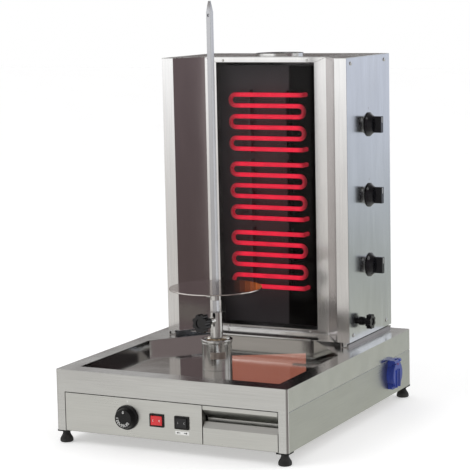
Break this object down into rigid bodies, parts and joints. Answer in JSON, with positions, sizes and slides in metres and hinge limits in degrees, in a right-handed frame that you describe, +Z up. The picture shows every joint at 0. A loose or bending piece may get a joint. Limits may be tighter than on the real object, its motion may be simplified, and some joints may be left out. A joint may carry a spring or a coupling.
{
  "type": "vertical rotisserie broiler",
  "caption": "Countertop vertical broiler: a driven spit with a meat disc over a drip pan, and a sliding heating tower with glowing heaters behind dark glass.",
  "frame": {"origin": "on the floor, under the centre of the whole object's bounding box", "axes": "+X to the user's right seen from the front, +Y to the back, +Z up; the controls face -Y"},
  "size_m": [0.518, 0.659, 0.854],
  "materials": {
    "cabinet_steel": "satin",
    "worktop_steel": "polished",
    "tower_steel": "polished",
    "reflector_steel": "mirror polished",
    "inner_steel": "satin",
    "polished_steel": "polished",
    "gloss_black": "gloss",
    "matte_black": "matt",
    "foot_rubber": "matt",
    "rocker_red": "translucent gloss",
    "socket_blue": "satin",
    "switch_ceramic": "matt",
    "motor_casting": "cast",
    "bush_bronze": "machined",
    "heater_tube": "glowing",
    "dark_glass": "polished",
    "insulation": "matt fibre board"
  },
  "bodies": {
    "base": {"base_shell": "cabinet_steel", "worktop": "worktop_steel", "drip_pan": "worktop_steel", "control_panel": "cabinet_steel", "bottom_plate": "inner_steel", "foot_caps": "matte_black", "rubber_feet": "foot_rubber", "drawer_runners": "inner_steel", "regulator_body": "switch_ceramic", "main_switch_body": "matte_black", "direction_switch_body": "matte_black", "socket_housing": "socket_blue", "socket_insert": "matte_black", "cable_gland": "matte_black", "gear_motor": "motor_casting", "spindle_housing": "polished_steel", "nameplate": "inner_steel", "spindle_bushes": "bush_bronze", "slide_rails": "inner_steel", "lock_tab": "inner_steel"},
    "speed_dial": {"regulator_shaft": "polished_steel", "regulator_dial": "matte_black"},
    "main_switch": {"main_rocker": "rocker_red"},
    "direction_switch": {"direction_rocker": "gloss_black"},
    "drawer": {"drawer_front": "cabinet_steel", "drawer_box": "inner_steel"},
    "socket_cover": {"socket_lid": "socket_blue"},
    "spindle": {"spindle": "polished_steel", "shaft_coupling": "polished_steel"},
    "spit_clamp": {"clamp_knob": "gloss_black", "clamp_screw": "polished_steel"},
    "spit": {"spit": "polished_steel"},
    "disc": {"meat_disc": "polished_steel", "disc_collar": "polished_steel", "collar_screw": "polished_steel"},
    "tower": {"tower_floor": "tower_steel", "side_panel_left": "tower_steel", "side_panel_right": "tower_steel", "panel_screws": "polished_steel", "rear_panel": "tower_steel", "roof": "tower_steel", "vent_collar": "polished_steel", "reflector_left": "reflector_steel", "reflector_right": "reflector_steel", "glass_frame": "reflector_steel", "glass_panel": "dark_glass", "lip_plate": "reflector_steel", "edge_rod": "polished_steel", "heater_bottom": "heater_tube", "heater_middle": "heater_tube", "heater_top": "heater_tube", "heater_board": "insulation", "heater_supports": "inner_steel", "heat_switches": "switch_ceramic"},
    "knob_bottom": {"heat_knob_bottom": "gloss_black"},
    "knob_middle": {"heat_knob_middle": "gloss_black"},
    "knob_top": {"heat_knob_top": "gloss_black"},
    "lock": {"lock_knob": "gloss_black", "lock_stud": "polished_steel"}
  },
  "joints": [
    {"name": "tower_slide", "type": "slide", "parent": "base", "child": "tower", "axis": [0, -1, 0], "range_m": [0, 0.06]},
    {"name": "lock_turn", "type": "hinge", "parent": "tower", "child": "lock", "pos_m": [0.2, 0.145, 0.191], "axis": [-1, 0, 0], "range_deg": [0, 360]},
    {"name": "heat_knob_bottom_turn", "type": "hinge", "parent": "tower", "child": "knob_bottom", "pos_m": [0.2, 0.192, 0.302], "axis": [-1, 0, 0], "range_deg": [0, 270]},
    {"name": "heat_knob_middle_turn", "type": "hinge", "parent": "tower", "child": "knob_middle", "pos_m": [0.2, 0.192, 0.448], "axis": [-1, 0, 0], "range_deg": [0, 270]},
    {"name": "heat_knob_top_turn", "type": "hinge", "parent": "tower", "child": "knob_top", "pos_m": [0.2, 0.192, 0.594], "axis": [-1, 0, 0], "range_deg": [0, 270]},
    {"name": "dial_turn", "type": "hinge", "parent": "base", "child": "speed_dial", "pos_m": [-0.1, -0.313, 0.0638], "axis": [0, 1, 0], "range_deg": [0, 270]},
    {"name": "main_switch_rock", "type": "hinge", "parent": "base", "child": "main_switch", "pos_m": [-0.0345, -0.313, 0.0638], "axis": [0, 0, 1], "range_deg": [-10, 0]},
    {"name": "direction_switch_rock", "type": "hinge", "parent": "base", "child": "direction_switch", "pos_m": [0.0195, -0.313, 0.0638], "axis": [0, 0, 1], "range_deg": [-8, 8]},
    {"name": "drawer_slide", "type": "slide", "parent": "base", "child": "drawer", "axis": [0, -1, 0], "range_m": [0, 0.2]},
    {"name": "socket_lid_hinge", "type": "hinge", "parent": "base", "child": "socket_cover", "pos_m": [0.254, 0.2, 0.099], "axis": [0, -1, 0], "range_deg": [0, 110], "stiffness_Nm_per_rad": 0.02, "springref_deg": -28.65},
    {"name": "spindle_spin", "type": "hinge", "parent": "base", "child": "spindle", "pos_m": [-0.009, -0.106, 0.1865], "axis": [0, 0, 1], "continuous": true},
    {"name": "clamp_turn", "type": "hinge", "parent": "spindle", "child": "spit_clamp", "pos_m": [-0.01524, -0.13534, 0.224], "axis": [0.2079, 0.9781, 0], "range_deg": [-360, 360]},
    {"name": "spit_lift", "type": "slide", "parent": "spindle", "child": "spit", "axis": [0, 0, 1], "range_m": [0, 0.06]},
    {"name": "disc_slide", "type": "slide", "parent": "spit", "child": "disc", "axis": [0, 0, 1], "range_m": [-0.02, 0.3]}
  ]
}
